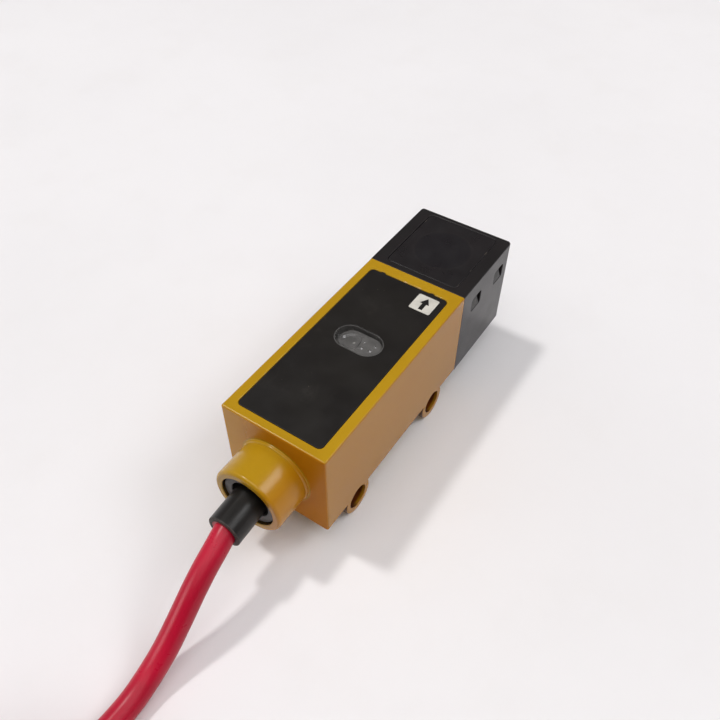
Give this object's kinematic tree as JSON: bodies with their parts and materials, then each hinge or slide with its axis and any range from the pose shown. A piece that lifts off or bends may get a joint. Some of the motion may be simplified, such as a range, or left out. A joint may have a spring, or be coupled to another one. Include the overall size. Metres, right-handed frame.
{
  "type": "photoelectric sensor light source",
  "caption": "Small square through-beam light source: painted die-cast body, black head with a flat window, label plate, indicator window, cross mounting holes and a folded cord.",
  "frame": {"origin": "middle of the object's footprint without its free cord, on the surface that the two cross-hole lugs stand on", "axes": "+Y towards the moulded head, away from the cord; +X across the housing, along the cross holes; +Z out of the label face"},
  "size_m": [0.0361, 0.2073, 0.0239],
  "materials": {
    "yellow_paint": "semi-gloss sprayed paint over a die casting",
    "black_case": "fine-grained moulded plastic",
    "dark_window": "satin infrared-pass plastic",
    "label_black": "matt printed plate",
    "clear_plastic": "clear moulded plastic",
    "grey_plastic": "matt moulded plastic",
    "black_rubber": "matt rubber",
    "red_pvc": "soft PVC cord jacket",
    "steel": "crimped steel",
    "brown_pvc": "lead insulation",
    "blue_pvc": "lead insulation",
    "pink_pvc": "lead insulation",
    "tinned_copper": "tinned strands",
    "green_board": "circuit board with solder mask",
    "black_epoxy": "moulded package",
    "ceramic": "chip ceramic",
    "red_lens": "tinted epoxy",
    "ir_epoxy": "blue-grey tinted epoxy",
    "gold_pins": "gold-plated pins",
    "barrel_black": "matt moulded barrel"
  },
  "bodies": {
    "root": {"housing": "yellow_paint", "head_case": "black_case", "window": "dark_window", "name_plate": "label_black", "indicator_window": "clear_plastic", "gland_bush": "grey_plastic", "strain_relief": "black_rubber", "seal_ring": "black_rubber", "cable_tail": "red_pvc", "cable_clamp": "steel", "core_brown": "brown_pvc", "core_blue": "blue_pvc", "core_pink": "pink_pvc", "main_board": "green_board", "driver_ic": "black_epoxy", "transistor": "black_epoxy", "diode": "black_epoxy", "capacitors": "ceramic", "resistors": "black_epoxy", "indicator_led": "red_lens", "board_pins": "gold_pins", "head_gasket": "black_rubber", "emitter_board": "green_board", "emitter_led": "ir_epoxy", "lens_holder": "barrel_black", "lens": "clear_plastic", "cable": "red_pvc", "cable_hank": "red_pvc", "hank_ties": "black_rubber", "lead_brown": "brown_pvc", "lead_blue": "blue_pvc", "lead_pink": "pink_pvc", "lead_tips": "tinned_copper"}
  },
  "joints": []
}
